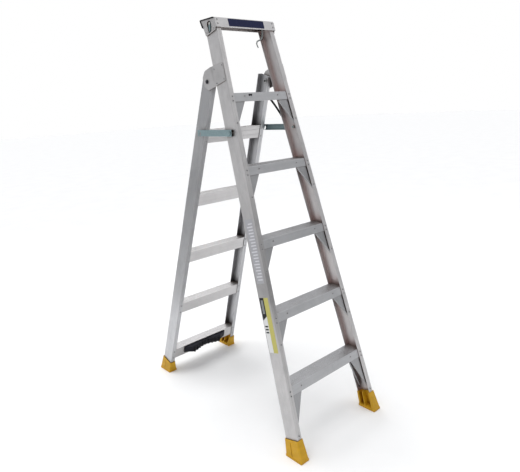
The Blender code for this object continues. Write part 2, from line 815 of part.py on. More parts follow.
def make_foot(section, side_name, foot):
    """A moulded boot on a wider sole, hollow on the side that faces the middle of the ladder."""
    side = SIDES[side_name]
    ground_half = section.half_width
    top = foot["top"]
    top_half = section.half_at(top)

    rings = []
    for z, inset in ((0.0, 0.0), (SOLE, 0.0), (SOLE + GAP, SOLE_LEDGE)):
        across = (ground_half - foot["in"] + inset, ground_half + foot["out"] - inset)
        along = (section.y - foot["toe"] + inset, section.y + foot["heel"] - inset)
        plan = rounded(box_corners(across, along), FOOT_CORNER, 3)
        rings.append([(side * x, *section.own(y, z)) for x, y in plan])
    across = (top_half - FLANGE - FOOT_WALL, top_half + FOOT_OUTER_WALL)
    plan = rounded(box_corners(across, (-FOOT_WALL, section.depth + FOOT_WALL)), FOOT_CORNER, 3)
    rings.append([(side * x, d, top) for x, d in plan])
    name = section.name.split("_")[0] + "_foot_" + side_name
    boot = section.hang(piece_of(name, loft(rings), "yellow_plastic"))

    tilt = -side * math.atan(section.taper)
    slot_low = section.ends[0] - 2 * GAP
    outline = channel(section.depth, FLANGE, WEB_WALL, FLANGE_WALL, side, grow=SLOT_GAP)
    slot = prism(name + "_slot", outline, 0.12, "z", None)
    middle = slot_low + 0.06
    section.hang(slot, side * section.half_at(middle), 0.0, middle, tilt)
    boolean(boot, slot)

    clear = box_corners((0.0, side * MOUTH_GAP), (0.0, section.depth))
    mouth = prism(name + "_mouth", clear, 2 * MOUTH_DEPTH, "z", None)
    section.hang(mouth, side * top_half, 0.0, top, tilt)
    boolean(boot, mouth)

    groove_d = 0.56 * section.depth
    ledge = section.level(SOLE, groove_d)
    low = ledge + 0.004
    high = top - 0.011
    wall_low = ground_half + foot["out"] - SOLE_LEDGE
    wall_high = top_half + FOOT_OUTER_WALL
    slope = (wall_low - wall_high) / (top - ledge)
    middle = (low + high) / 2
    line = box_corners((-GROOVE_DEPTH, GROOVE_DEPTH), (-GROOVE_WIDTH / 2, GROOVE_WIDTH / 2))
    groove = prism(name + "_groove", line, high - low, "z", None)
    x = wall_low - slope * (middle - ledge)
    section.hang(groove, side * x, groove_d, middle, -side * math.atan(slope))
    boolean(boot, groove)

    liner = WEB_WALL + 0.0042
    front = FLANGE_WALL + 0.0042
    back = section.depth - front
    rib = front + 0.60 * (back - front)
    for part, (start, end) in enumerate(((front, rib - 0.0018), (rib + 0.0018, back))):
        floor = 0.0115
        shape = [
            (start, section.level(floor, start), 0.003),
            (end, section.level(floor, end), 0.003),
            (end, top + 0.02, 0),
            (start, top + 0.02, 0),
        ]
        pocket = prism(f"{name}_pocket_{part}", rounded(shape, 0.003, 2), 0.08, "x", None)
        section.hang(pocket, side * (section.half_width - liner - 0.04), 0.0, 0.0, 0.0)
        pocket.rotation_euler = (0.0, tilt, 0.0)
        boolean(boot, pocket)
    return boot


# ---------------------------------------------------------------- pole support and strap

def make_pole_support():
    """A moulded block on the lowest rung, with a toothed pad along its shallow vee."""
    low, high = SUPPORT_ENDS
    base = TREAD_INSET - GAP
    half = SUPPORT_HALF
    shoulder = SUPPORT_SHOULDER
    flank = []
    for k in range(7):
        share = k / 6
        across = half + (shoulder - half) * share
        height = SUPPORT_LIP + (SUPPORT_PEAK - SUPPORT_LIP) * share**1.4
        flank.append((across, base - height))
    left = [(-x, d) for x, d in reversed(flank)]
    outline = [(half, base), *flank, (0.0, base - SUPPORT_VALLEY), *left, (-half, base)]
    block = prism("pole_support", outline, high - low, "z", "black_plastic")
    REAR.hang(block, 0.0, 0.0, (low + high) / 2)

    run = shoulder - 0.003
    rise = (SUPPORT_PEAK - SUPPORT_VALLEY) / shoulder

    def vee(x, away):
        return base - SUPPORT_VALLEY - rise * abs(x) - away

    under = [(-run, vee(run, GAP)), (0.0, vee(0, GAP)), (run, vee(run, GAP))]
    pitch = 2 * run / (2 * TEETH - 1)
    side_step = pitch * 0.18
    over = []
    for tooth in range(TEETH):
        start = run - 2 * tooth * pitch
        end = start - pitch
        tip_places = [start - side_step, end + side_step]
        if start > 0 > end:
            tip_places.insert(1, 0.0)
        over.append((start, vee(start, PAD_WALL)))
        over += [(x, vee(x, PAD_WALL + TOOTH_HEIGHT)) for x in tip_places]
        over.append((end, vee(end, PAD_WALL)))
    pad = prism("pole_pad", under + over, high - low - 0.003, "z", "black_rubber")
    return REAR.hang(pad, 0.0, 0.0, (low + high) / 2)


def make_strap():
    """A black strap that lies along the back of the right stile and runs up behind the highest tread."""
    curve = bpy.data.curves.new("retaining_strap_line", "CURVE")
    curve.dimensions = "3D"
    curve.bevel_depth = STRAP_RADIUS
    curve.bevel_resolution = 2
    curve.use_fill_caps = True
    behind_stile = FRONT_DEPTH + STRAP_RADIUS + GAP
    behind_apron = FRONT_DEPTH - TREAD_INSET + STRAP_RADIUS + GAP
    start = Vector((0.1790, behind_stile, 1.4300))
    bend = Vector((0.1740, behind_stile, 1.4760))
    end = Vector((0.1140, behind_apron, 1.5520))
    leaves_stile = 0.6
    spline = curve.splines.new("POLY")
    count = 13
    spline.points.add(count - 1)
    for i, point in enumerate(spline.points):
        share = i / (count - 1)
        place = start.lerp(bend, share).lerp(bend.lerp(end, share), share)
        inward = max(share - leaves_stile, 0.0) / (1 - leaves_stile)
        place.y = behind_stile + (behind_apron - behind_stile) * inward
        point.co = (*place, 1.0)
    mesh = mesh_of(bpy.data.objects.new("retaining_strap_line", curve))
    return FRONT.hang(piece_of("retaining_strap", mesh, "black_rubber"))


# ---------------------------------------------------------------- assembly

def make_rig(section, d=0.0, s=0.0):
    rig = bpy.data.objects.new(section.name, None)
    PARTS.objects.link(rig)
    y, z = section.world(d, s)
    rig.location = (0.0, y, z)
    rig.rotation_euler = (-section.lean, 0.0, 0.0)
    section.rig = rig
    section.origin = (d, s)


make_rig(FRONT)
pivot_world = FRONT.world(PIVOT_D, PIVOT_S)
rear_pivot = REAR.own(*pivot_world)
make_rig(REAR, *rear_pivot)

for side_word, side_sign in SIDES.items():
    front_stile = make_stile(FRONT, side_word)
    drill(front_stile, FRONT, side_sign, SPREADER_D, SPREADER_S, 0.0043)
    drill(front_stile, FRONT, side_sign, LOCK_D, LOCK_S, LOCK_PIN_RADIUS + RUNNING)
    rear_stile = make_stile(REAR, side_word)
    drill(rear_stile, REAR, side_sign, *rear_pivot, HINGE_BOLT_RADIUS + RUNNING)
    make_hinge(side_word)
    make_spreader(side_word)
    make_cap_end(side_word)
    make_lock(side_word)
    make_foot(FRONT, side_word, FRONT_FOOT)
    make_foot(REAR, side_word, REAR_FOOT)

for tread in range(1, TREADS + 1):
    make_tread(tread)
for rung in range(1, RUNGS + 1):
    make_rung(rung)
make_braces()
make_cap()
make_pole_support()
make_strap()
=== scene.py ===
"""Looks for the dual-purpose ladder: materials, rivets, plates and labels, with a studio and a camera.

Metres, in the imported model's frame: +Z up, the climber on the -Y side. Each section leans, so places on it
are given in its own axes, as in the model: x across, d behind the face of its stiles, s up its slope.
"""

import math

import bmesh
import bpy
from mathutils import Matrix, Vector


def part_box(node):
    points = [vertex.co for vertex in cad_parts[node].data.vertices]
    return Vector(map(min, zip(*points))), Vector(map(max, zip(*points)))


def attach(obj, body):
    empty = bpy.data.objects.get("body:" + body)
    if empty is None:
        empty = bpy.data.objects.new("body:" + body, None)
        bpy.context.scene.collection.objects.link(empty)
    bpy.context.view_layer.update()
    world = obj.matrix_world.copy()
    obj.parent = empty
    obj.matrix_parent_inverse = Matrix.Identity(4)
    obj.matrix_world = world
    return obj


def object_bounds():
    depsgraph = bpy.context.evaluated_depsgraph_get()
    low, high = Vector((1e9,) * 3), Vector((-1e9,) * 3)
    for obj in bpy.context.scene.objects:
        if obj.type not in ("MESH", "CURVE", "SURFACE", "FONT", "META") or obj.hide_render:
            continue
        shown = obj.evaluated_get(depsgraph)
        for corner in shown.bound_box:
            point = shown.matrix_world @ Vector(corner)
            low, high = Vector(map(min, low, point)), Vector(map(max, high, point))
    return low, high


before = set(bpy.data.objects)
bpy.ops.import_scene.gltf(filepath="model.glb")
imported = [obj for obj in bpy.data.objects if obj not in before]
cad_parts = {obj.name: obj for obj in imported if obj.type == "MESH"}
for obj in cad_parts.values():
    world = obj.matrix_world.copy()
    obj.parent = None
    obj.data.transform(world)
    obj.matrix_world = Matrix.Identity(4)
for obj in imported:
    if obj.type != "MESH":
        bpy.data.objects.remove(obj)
CAD_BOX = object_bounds()

SIDES = {"left": -1, "right": 1}
FRONT_BODY = "front_frame"
REAR_BODY = "rear_frame"

# The ladder's driving sizes, as in the model
TREAD_PITCH = 0.300
TREADS = 5
TREAD_INSET = 0.0031
TREAD_LEG = 0.0370
CAP_HEIGHT = 1.805
CAP_FRONT_D = -0.0065
CAP_HALF_WIDTH = 0.1660
RUNGS = 5
LOWEST_RUNG = 0.1425
RUNG_PITCH = 0.3022
BRACE_REACH = 0.0800
HINGE_PLATE = 0.0036  # its outer face from the stile's web
LOW_BRACE_END = 0.1070

# Rivets: their heads, their lines on the flanges, and how far they sit below a tread's or a rung's corner
RIVET_RADIUS = 0.0050
RIVET_HEIGHT = 0.0016
RIVET_SIDES = 14
CAP_RIVET_RADIUS = 0.0042
FRONT_LINE = 0.0125
REAR_LINE = 0.0150
TREAD_DROPS = (0.014, 0.033)
RUNG_DROPS = (0.014, 0.056)
TOP_RUNG_DROPS = (0.034, 0.056)
CAP_DROPS = (0.0095, 0.0265)
CAP_RIVET_INSET = 0.010
BRACE_INSET = 0.004  # of the rivet on a brace's inner end, which sits BRACE_RISE above the tread's lower edge
BRACE_RISE = 0.022
BRACE_DROP = 0.090  # of the rivet on its lower end
LOW_BRACE_RISE = 0.003
REAR_BRACE_S = (0.208, 0.132)
HINGE_RIVETS = ((0.008, 1.678), (0.062, 1.680), (0.009, 1.620), (0.062, 1.620))
CAP_END_D = (0.0105, 0.0620)
CAP_END_S = 1.834

# Labels on the left stile's web, by their edges in d and s
SILVER_LABEL = (0.014, 0.760, 0.062, 1.035)
DUTY_FRONT = 0.013
DUTY_SPLIT = 0.041
DUTY_BACK = 0.068
DUTY_FOOT = 0.464
DUTY_HEAD = 0.700
DUTY_SLANT = (0.620, 0.602)  # the white field's head, in front and behind
DUTY_GAP = 0.002
DUTY_SEAM = 0.0005  # between the yellow field and the others
DUTY_CORNER = 0.0015

# The name plate, by its edges in x and in the drop below the cap's face
NAME_PLATE = (-0.0975, 0.0030, 0.1030, 0.0350)
PLATE_CORNER = 0.0025

# How far the undersides and the tops of labels, plate and bars are off the metal
LABEL_BED = 0.0001
LABEL_TOP = 0.0003
PLATE_TOP = 0.0006
BAR_BED = 0.00035
BAR_TOP = 0.00045

# Bars on the labels, by their front and foot, their length in d and their height in s
PALE_BARS = 19
PALE_BAR_FRONT = 0.020
PALE_BAR_FOOT = 0.774
PALE_BAR_PITCH = 0.0132
PALE_BAR_LENGTHS = (0.030, 0.036, 0.026, 0.033)
PALE_BAR_HEIGHT = 0.0052
GREY_BAR = (0.0475, 0.632, 0.014, 0.058)
DARK_BAR_FRONT = 0.045
DARK_BAR_FEET = (0.548, 0.561, 0.574)
DARK_BAR_LENGTH = 0.019
DARK_BAR_HEIGHT = 0.0065

# Buffers on the highest tread
BUFFER_PLACES = (-0.0684, -0.0584)
BUFFER_DROP = 0.0105
BUFFER_RADIUS = 0.0046
BUFFER_HEIGHT = 0.0030

# Studio: the room's brightness in front of the ladder and behind it, the floor, and the sun's angles
ROOM_FRONT = 0.46
ROOM_BACK = 0.70
FLOOR_REACH = 40.0
SUN_STRENGTH = 1.75
SUN_SPREAD = 50
SUN_TURN = (-14, -10, 0)

# Camera, with its angles in degrees
CAMERA_PLACE = (-1.5298, -1.8265, 1.4449)
CAMERA_TURN = -41.38
CAMERA_DOWN = 14.566
CAMERA_ROLL = -3.333
CAMERA_LENS = 34.8


class Section:
    """A leaning half of the ladder, with places on it turned into world coordinates."""

    def __init__(self, body, y, lean, half_width, taper, depth):
        self.body = body
        self.y = y
        self.lean = lean
        self.half_width = half_width
        self.taper = taper
        self.depth = depth

    def half_at(self, s):
        return self.half_width - self.taper * s

    def level(self, z, d=0.0):
        """The slope position of the height z at depth d."""
        return (z + d * math.sin(self.lean)) / math.cos(self.lean)

    def point(self, x, d, s):
        sine = math.sin(self.lean)
        cosine = math.cos(self.lean)
        return Vector((x, self.y + d * cosine + s * sine, s * cosine - d * sine))

    def way(self, x, d, s):
        """A direction of the section as a world direction."""
        return (self.point(x, d, s) - self.point(0, 0, 0)).normalized()


FOOTPRINT = CAD_BOX[1][1] - CAD_BOX[0][1]
LADDER_HEIGHT = CAD_BOX[1][2]
FRONT = Section(FRONT_BODY, 0.0075 - FOOTPRINT / 2, math.radians(15.6), 0.2655, 0.0561, 0.0735)
REAR = Section(REAR_BODY, FOOTPRINT / 2 - 0.0820, -math.radians(19.0), 0.2322, 0.0369, 0.0690)


# ---------------------------------------------------------------- material graphs

class Graph:
    """A node material under construction."""

    def __init__(self, name, roughness=0.5, metallic=0.0):
        self.material = bpy.data.materials.new(name)
        self.material.use_nodes = True
        self.nodes = self.material.node_tree.nodes
        self.links = self.material.node_tree.links
        self.shader = self.nodes["Principled BSDF"]
        self.set(self.shader, {"Roughness": roughness, "Metallic": metallic})

    def set(self, node, values):
        """Sets or links a node's inputs, found by name or by number."""
        for key, value in values.items():
            socket = node.inputs[key]
            if isinstance(value, bpy.types.NodeSocket):
                self.links.new(value, socket)
            else:
                socket.default_value = value
        return node

    def add(self, kind, values=None, **settings):
        node = self.nodes.new(kind)
        for key, value in settings.items():
            setattr(node, key, value)
        return self.set(node, values or {})

    def place(self, turn=0.0, scale=(1.0, 1.0, 1.0)):
        """Places on the piece, turned upright by a section's lean and then stretched."""
        source = self.add("ShaderNodeTexCoord").outputs["Object"]
        if turn:
            values = {"Vector": source, "Rotation": (turn, 0.0, 0.0)}
            source = self.add("ShaderNodeMapping", values).outputs[0]
        return self.add("ShaderNodeMapping", {"Vector": source, "Scale": scale}).outputs[0]

    def noise(self, where, scale, detail=3.0, roughness=0.55):
        values = {"Vector": where, "Scale": scale, "Detail": detail, "Roughness": roughness}
        return self.add("ShaderNodeTexNoise", values).outputs[0]

    def ramp(self, factor, low, high, start=0.0, end=1.0):
        """factor from low to high, mapped to start to end."""
        values = {"Value": factor, "From Min": low, "From Max": high, "To Min": start, "To Max": end}
        return self.add("ShaderNodeMapRange", values).outputs[0]

    def math(self, operation, a, b):
        return self.add("ShaderNodeMath", {0: a, 1: b}, operation=operation).outputs[0]

    def mix(self, factor, a, b, blend="MIX"):
        """Two colours mixed; a and b are colours or sockets."""
        node = self.add("ShaderNodeMix", data_type="RGBA", blend_type=blend)
        for socket, value in ((node.inputs[0], factor), (node.inputs[6], a), (node.inputs[7], b)):
            if isinstance(value, bpy.types.NodeSocket):
                self.links.new(value, socket)
            else:
                socket.default_value = value
        return node.outputs[2]

    def upward(self, low=0.35, high=0.80):
        """1 on faces that look up, 0 on upright ones."""
        normal = self.add("ShaderNodeNewGeometry").outputs["Normal"]
        return self.ramp(self.add("ShaderNodeSeparateXYZ", {"Vector": normal}).outputs["Z"], low, high)

    def shaded(self, base, distance, deep, low=0.35, high=0.90):
        """Painted shade: base, multiplied by the colour deep where a place is closed in within a distance, as
        in hollows and between parts.
        """
        opening = self.add("ShaderNodeAmbientOcclusion", {"Distance": distance}, samples=12).outputs["AO"]
        shade = self.mix(self.ramp(opening, low, high), deep + (1.0,), (1.0, 1.0, 1.0, 1.0))
        return self.mix(1.0, base, shade, "MULTIPLY")

    def by_height(self, stops):
        """A grey that follows stops of height in metres, lowest first, and value."""
        height = self.add("ShaderNodeSeparateXYZ", {"Vector": self.place()}).outputs["Z"]
        share = self.math("DIVIDE", height, LADDER_HEIGHT)
        node = self.add("ShaderNodeValToRGB", {"Fac": share})
        elements = node.color_ramp.elements
        elements[0].position = stops[0][0] / LADDER_HEIGHT
        elements[0].color = grey(stops[0][1])
        elements[1].color = grey(stops[-1][1])
        for place, value in stops[1:-1]:
            elements.new(place / LADDER_HEIGHT).color = grey(value)
        return node.outputs["Color"]

    def bump(self, height, distance, strength=1.0):
        values = {"Height": height, "Distance": distance, "Strength": strength}
        self.set(self.shader, {"Normal": self.add("ShaderNodeBump", values).outputs[0]})

    def finish(self, **inputs):
        self.set(self.shader, {key.replace("_", " "): value for key, value in inputs.items()})
        return self.material


WARM = (1.0, 0.982, 0.985)
COOL = (0.985, 0.990, 1.015)
# The colour of painted shade in the aluminium's hollows and channels
HOLLOW_SHADE = (0.42, 0.35, 0.31)


def grey(value, tint=(1.0, 1.0, 1.0)):
    return tuple(value * part for part in tint) + (1.0,)


def aluminium(name, turn, along, tone=0.56, tint=WARM, smudge=0.16, upright=1.0, deep=HOLLOW_SHADE, shade_by_height=()):
    """Mill-finish extrusion: fine drawing lines along its length, cloudy oxide, smudges and light scuffs.

    upright is how dark its upright faces are painted beside the ones that look up, a painted shade as if lit
    from above, and the stops by height paint shade that makes it darker or lighter by height.
    """
    graph = Graph(name, roughness=0.4, metallic=0.86)
    stretch = {"x": (1.4, 420.0, 420.0), "s": (420.0, 420.0, 1.4)}[along]
    lines = graph.noise(graph.place(turn, stretch), 1.0, 2.0)
    bands = graph.noise(graph.place(turn, tuple(v * 0.2 for v in stretch)), 1.0, 1.0)
    clouds = graph.noise(graph.place(turn), 9.0, 5.0, 0.6)
    scuff_way = {"x": (60.0, 500.0, 90.0), "s": (120.0, 60.0, 600.0)}[along]
    scuffs = graph.ramp(graph.noise(graph.place(turn + 0.5, scuff_way), 1.0, 2.0), 0.68, 0.76)

    base = graph.mix(graph.ramp(clouds, 0.3, 0.7), grey(tone * 0.90, tint), grey(tone * 1.06, tint))
    base = graph.mix(graph.ramp(lines, 0.3, 0.7, 0.0, 0.16), base, grey(tone * 0.62, tint))
    base = graph.mix(graph.ramp(bands, 0.35, 0.7, 0.0, 0.14), base, grey(tone * 1.22, tint))
    base = graph.mix(graph.math("MULTIPLY", scuffs, 0.30), base, grey(0.92))
    patches = graph.noise(graph.place(turn, (1.0, 1.0, 0.6)), 17.0, 6.0, 0.66)
    smudges = graph.ramp(patches, 0.50, 0.72, 0.0, smudge)
    base = graph.mix(smudges, base, grey(tone * 0.45, (0.96, 0.98, 1.0)))
    # Painted shade: upright faces darker than the ones that look up, as if lit from above
    if upright < 1.0:
        upright_shade = graph.mix(graph.upward(), grey(upright), grey(1.0))
        base = graph.mix(1.0, base, upright_shade, "MULTIPLY")
    # Painted shade by height: the stiles darker and lighter in bands up their length
    if shade_by_height:
        base = graph.mix(1.0, base, graph.by_height(shade_by_height), "MULTIPLY")
    # Painted shade: darker where the piece is closed in within 55 mm, as inside channels and around rivets
    base = graph.shaded(base, 0.055, deep)
    sheen = graph.ramp(clouds, 0.3, 0.7, 0.36, 0.47)
    rough = graph.math("ADD", sheen, graph.ramp(lines, 0.3, 0.7, -0.04, 0.05))
    graph.bump(graph.math("ADD", lines, graph.math("MULTIPLY", bands, 0.6)), 0.00012, 0.5)
    return graph.finish(Base_Color=base, Roughness=rough)


def sheet_metal(name, colour, roughness, speckle=260.0):
    """Plated steel or sheet: a fine crystal mottle with rubbed patches."""
    graph = Graph(name, roughness=roughness, metallic=0.8)
    where = graph.place()
    cells = graph.add("ShaderNodeTexVoronoi", {"Vector": where, "Scale": speckle}).outputs["Color"]
    cell_tone = graph.add("ShaderNodeRGBToBW", {"Color": cells}).outputs[0]
    clouds = graph.noise(where, 28.0, 5.0)
    grain = graph.noise(where, 900.0, 2.0)
    dark = tuple(c * 0.80 for c in colour) + (1.0,)
    light = tuple(min(c * 1.16, 1.0) for c in colour) + (1.0,)
    base = graph.mix(graph.ramp(cell_tone, 0.2, 0.8, 0.25, 0.75), dark, light)
    base = graph.mix(graph.ramp(clouds, 0.45, 0.75, 0.0, 0.5), base, light)
    # Painted shade: darker where the sheet is closed in within 20 mm, as inside the spreaders' channels
    base = graph.shaded(base, 0.020, (0.16, 0.17, 0.18))
    rough = graph.ramp(clouds, 0.3, 0.7, roughness - 0.06, roughness + 0.1)
    graph.bump(grain, 0.00008, 0.5)
    return graph.finish(Base_Color=base, Roughness=rough)


def moulded(name, colour, roughness, grain=1400.0, depth=0.00012, fade=0.12, shade_in_hollows=(0.5, 0.5, 0.5)):
    """Moulded plastic or rubber: spark-eroded grain, flow marks, dusty high spots and painted shade in
    hollows.
    """
    graph = Graph(name, roughness=roughness)
    where = graph.place()
    pebbles = graph.noise(where, grain, 2.0)
    flow = graph.noise(graph.place(0.3, (1.0, 1.0, 3.0)), 14.0, 4.0)
    dust = graph.ramp(graph.noise(where, 60.0, 6.0, 0.7), 0.55, 0.8, 0.0, fade)
    full = colour + (1.0,)
    deep = tuple(c * 0.84 for c in colour) + (1.0,)
    base = graph.mix(graph.ramp(flow, 0.35, 0.65), deep, full)
    base = graph.mix(dust, base, grey(0.62))
    # Painted shade: darker in hollows and where the piece meets the floor
    base = graph.shaded(base, 0.030, shade_in_hollows, 0.10, 0.62)
    rough = graph.ramp(pebbles, 0.3, 0.7, roughness - 0.07, roughness + 0.08)
    graph.bump(pebbles, depth, 0.6)
    graph.set(graph.shader, {"Specular IOR Level": 0.32})
    return graph.finish(Base_Color=base, Roughness=rough)


def printed(name, colour, roughness=0.35):
    """A printed plastic film with a faint orange peel and rubbed ink."""
    graph = Graph(name, roughness=roughness)
    where = graph.place()
    peel = graph.noise(where, 700.0, 2.0)
    worn = graph.ramp(graph.noise(where, 120.0, 6.0, 0.7), 0.60, 0.80, 0.0, 0.08)
    base = graph.mix(worn, colour + (1.0,), grey(0.70))
    graph.bump(peel, 0.00004, 0.4)
    rough = graph.ramp(peel, 0.3, 0.7, roughness - 0.06, roughness + 0.06)
    graph.set(graph.shader, {"Specular IOR Level": 0.30})
    return graph.finish(Base_Color=base, Roughness=rough)


# Painted shade on the left stiles, darker and lighter by height, as (height, share)
FRONT_HEIGHT_SHADE = (
    (0.20, 0.90), (0.45, 0.84), (0.70, 0.55), (0.95, 0.68), (1.10, 0.80), (1.40, 0.90), (1.80, 1.0)
)
REAR_HEIGHT_SHADE = ((0.34, 1.0), (0.54, 0.68), (0.80, 0.58), (1.08, 0.51), (1.35, 0.65), (1.80, 0.64))

FRONT_LEFT_STILE = aluminium(
    "front_left_stile_aluminium", FRONT.lean, "s", 0.62, smudge=0.30, shade_by_height=FRONT_HEIGHT_SHADE
)
# Painted shade: the right front stile, seen on its inner face, is a darker copy with a warm deep colour
FRONT_STILE = aluminium("front_stile_aluminium", FRONT.lean, "s", 0.57, smudge=0.24, deep=(0.92, 0.73, 0.69))
# Painted shade: the treads' aprons are painted darker than their tops, as if lit from above
FRONT_TREAD = aluminium("tread_aluminium", FRONT.lean, "x", 0.63, COOL, upright=0.76)
CAP = aluminium("cap_aluminium", FRONT.lean, "x", 0.62)
REAR_LEFT_STILE = aluminium(
    "rear_left_stile_aluminium", REAR.lean, "s", 0.62, COOL, 0.24, shade_by_height=REAR_HEIGHT_SHADE
)
# Painted shade: the right rear stile, seen on its inner face, is a darker copy with a dark deep colour
REAR_STILE = aluminium("rear_stile_aluminium", REAR.lean, "s", 0.53, COOL, 0.24, deep=(0.36, 0.35, 0.35))
REAR_RUNG = aluminium("rung_aluminium", REAR.lean, "x", 0.60)
PLATE = aluminium("plate_aluminium", FRONT.lean, "x", 0.50)
# Painted shade: the braces are a darker copy of the aluminium, as they sit in shadow behind the treads
BRACE = aluminium("brace_aluminium", FRONT.lean, "s", 0.38, COOL)
GALVANISED = sheet_metal("galvanised_steel", (0.24, 0.325, 0.345), 0.42)
# Painted shade: the hook is a darker copy of the zinc, as it sits in the shade inside the stile
HOOK_ZINC_SHADED = sheet_metal("hook_zinc", (0.27, 0.29, 0.29), 0.40)
ZINC = sheet_metal("zinc_plate", (0.52, 0.52, 0.50), 0.32, 500.0)
BLACK_STEEL = sheet_metal("blackened_steel", (0.035, 0.036, 0.042), 0.45, 500.0)
RIVET_METAL = sheet_metal("rivet_aluminium", (0.46, 0.455, 0.46), 0.36, 700.0)
# The mandrel: the steel's own dark colour, darkened to near black as painted shade in the rivet's hole
RIVET_MANDREL_AND_SHADE = sheet_metal("rivet_mandrel_and_hole_shade", (0.045, 0.045, 0.05), 0.6, 700.0)
# The feet's painted shade in hollows and by the floor is reddish brown
YELLOW = moulded("yellow_plastic", (0.62, 0.345, 0.012), 0.48, fade=0.05, shade_in_hollows=(0.40, 0.13, 0.03))
RUBBER = moulded("black_rubber", (0.005, 0.005, 0.009), 0.66, fade=0.012)
BLACK_PLASTIC = moulded("black_plastic", (0.004, 0.004, 0.011), 0.6, fade=0.012)
NAVY = printed("navy_print", (0.002, 0.006, 0.045), 0.55)
LABEL_SILVER = printed("silver_label", (0.36, 0.36, 0.385), 0.4)
LABEL_PALE = printed("pale_print", (0.60, 0.60, 0.63), 0.4)
LABEL_YELLOW = printed("yellow_label", (0.50, 0.46, 0.12))
LABEL_BLACK = printed("black_label", (0.006, 0.006, 0.008), 0.5)
LABEL_GREY = printed("grey_label", (0.22, 0.23, 0.23), 0.5)
LABEL_WHITE = printed("white_label", (0.70, 0.70, 0.70))

NODE_LOOKS = (
    (("front_stile_left",), FRONT_LEFT_STILE),
    (("front_stile",), FRONT_STILE),
    (("rear_stile_left",), REAR_LEFT_STILE),
    (("rear_stile",), REAR_STILE),
    (("tread_brace", "rear_brace"), BRACE),
    (("cap_end", "hinge_plate"), PLATE),
    (("top_cap",), CAP),
    (("tread_",), FRONT_TREAD),
    (("rung_",), REAR_RUNG),
    (("front_foot", "rear_foot"), YELLOW),
    (("cap_trim", "pole_pad", "retaining_strap"), RUBBER),
    (("pole_support",), BLACK_PLASTIC),
    (("spreader_left", "spreader_right", "spreader_bolt", "lock_lever"), GALVANISED),
    (("lock_hook",), HOOK_ZINC_SHADED),
    (("hinge_bolt",), BLACK_STEEL),
    (("",), ZINC),
)


def paint_nodes():
    for name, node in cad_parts.items():
        look = next(material for starts, material in NODE_LOOKS if name.startswith(starts))
        node.data.materials.clear()
        node.data.materials.append(look)


# ---------------------------------------------------------------- pieces

def piece_of(name, mesh, materials, body):
    """A new piece that rides on a body."""
    piece = bpy.data.objects.new(name, mesh)
    bpy.context.scene.collection.objects.link(piece)
    for material in materials:
        mesh.materials.append(material)
    mesh.shade_smooth()
    mesh.set_sharp_from_angle(angle=math.radians(35))
    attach(piece, body)
    return piece


def mesh_from(name, work):
    """The finished mesh of a bmesh, which is freed."""
    mesh = bpy.data.meshes.new(name)
    work.to_mesh(mesh)
    work.free()
    return mesh


def add_rivet(work, place, way, radius=RIVET_RADIUS, height=RIVET_HEIGHT, core=0.54, steps=RIVET_SIDES):
    """A blind rivet's head: a low dome with a rolled edge and the broken mandrel sunk in its middle."""
    profile = [
        (1.00, -0.10),
        (1.00, 0.28),
        (0.93, 0.48),
        (0.78, 0.80),
        (core + 0.10, 1.00),
        (core, 0.94),
        (core * 0.9, 0.50),
    ]
    turn = Vector((0, 0, 1)).rotation_difference(way).to_matrix().to_4x4()
    fit = Matrix.Translation(place) @ turn
    rings = []
    for share, rise in profile:
        ring = []
        for i in range(steps):
            angle = 2 * math.pi * i / steps
            reach = share * radius
            corner = Vector((reach * math.cos(angle), reach * math.sin(angle), rise * height))
            ring.append(work.verts.new(fit @ corner))
        rings.append(ring)
    for inner in range(len(rings) - 1):
        for i in range(steps):
            j = (i + 1) % steps
            work.faces.new((rings[inner][i], rings[inner][j], rings[inner + 1][j], rings[inner + 1][i]))
    centre = work.verts.new(fit @ Vector((0, 0, 0.62 * height)))
    for i in range(steps):
        face = work.faces.new((rings[-1][i], rings[-1][(i + 1) % steps], centre))
        face.material_index = 1
    work.faces.new(rings[0][::-1])


def rivets(name, section, places, **sizes):
    """A group of rivets, each given as its place on a section (x, d, s) and the way that it faces."""
    work = bmesh.new()
    for place, way in places:
        add_rivet(work, section.point(*place), section.way(*way), **sizes)
    return piece_of(name, mesh_from(name, work), [RIVET_METAL, RIVET_MANDREL_AND_SHADE], section.body)


AHEAD = (0, -1, 0)
BEHIND = (0, 1, 0)


def tread_rivets():
    """Each tread is riveted to both flanges of each stile."""
    ahead = []
    behind = []
    for number in range(1, TREADS + 1):
        height = TREAD_PITCH * number
        for side in SIDES.values():
            for drop in TREAD_DROPS:
                s = FRONT.level(height) - drop
                ahead.append(((side * (FRONT.half_at(s) - FRONT_LINE), 0.0, s), AHEAD))
                s = FRONT.level(height, FRONT.depth) - drop
                behind.append(((side * (FRONT.half_at(s) - FRONT_LINE), FRONT.depth, s), BEHIND))
    rivets("tread_rivets_front", FRONT, ahead)
    rivets("tread_rivets_rear", FRONT, behind)


def brace_rivets():
    """Each front brace is riveted to its tread and its flange, and each rear brace twice to its flange."""
    places = []
    for number in range(1, TREADS + 1):
        level = FRONT.level(TREAD_PITCH * number, TREAD_INSET) - TREAD_LEG
        low = LOW_BRACE_END + LOW_BRACE_RISE if number == 1 else level - BRACE_DROP
        for side in SIDES.values():
            apron = FRONT.half_at(level) - BRACE_REACH - BRACE_INSET
            places.append(((side * apron, TREAD_INSET, level + BRACE_RISE), AHEAD))
            places.append(((side * (FRONT.half_at(low) - FRONT_LINE), 0.0, low), AHEAD))
    rivets("brace_rivets_front", FRONT, places)
    places = []
    for side in SIDES.values():
        for s in REAR_BRACE_S:
            places.append(((side * (FRONT.half_at(s) - FRONT_LINE), FRONT.depth, s), BEHIND))
    rivets("brace_rivets_rear", FRONT, places)


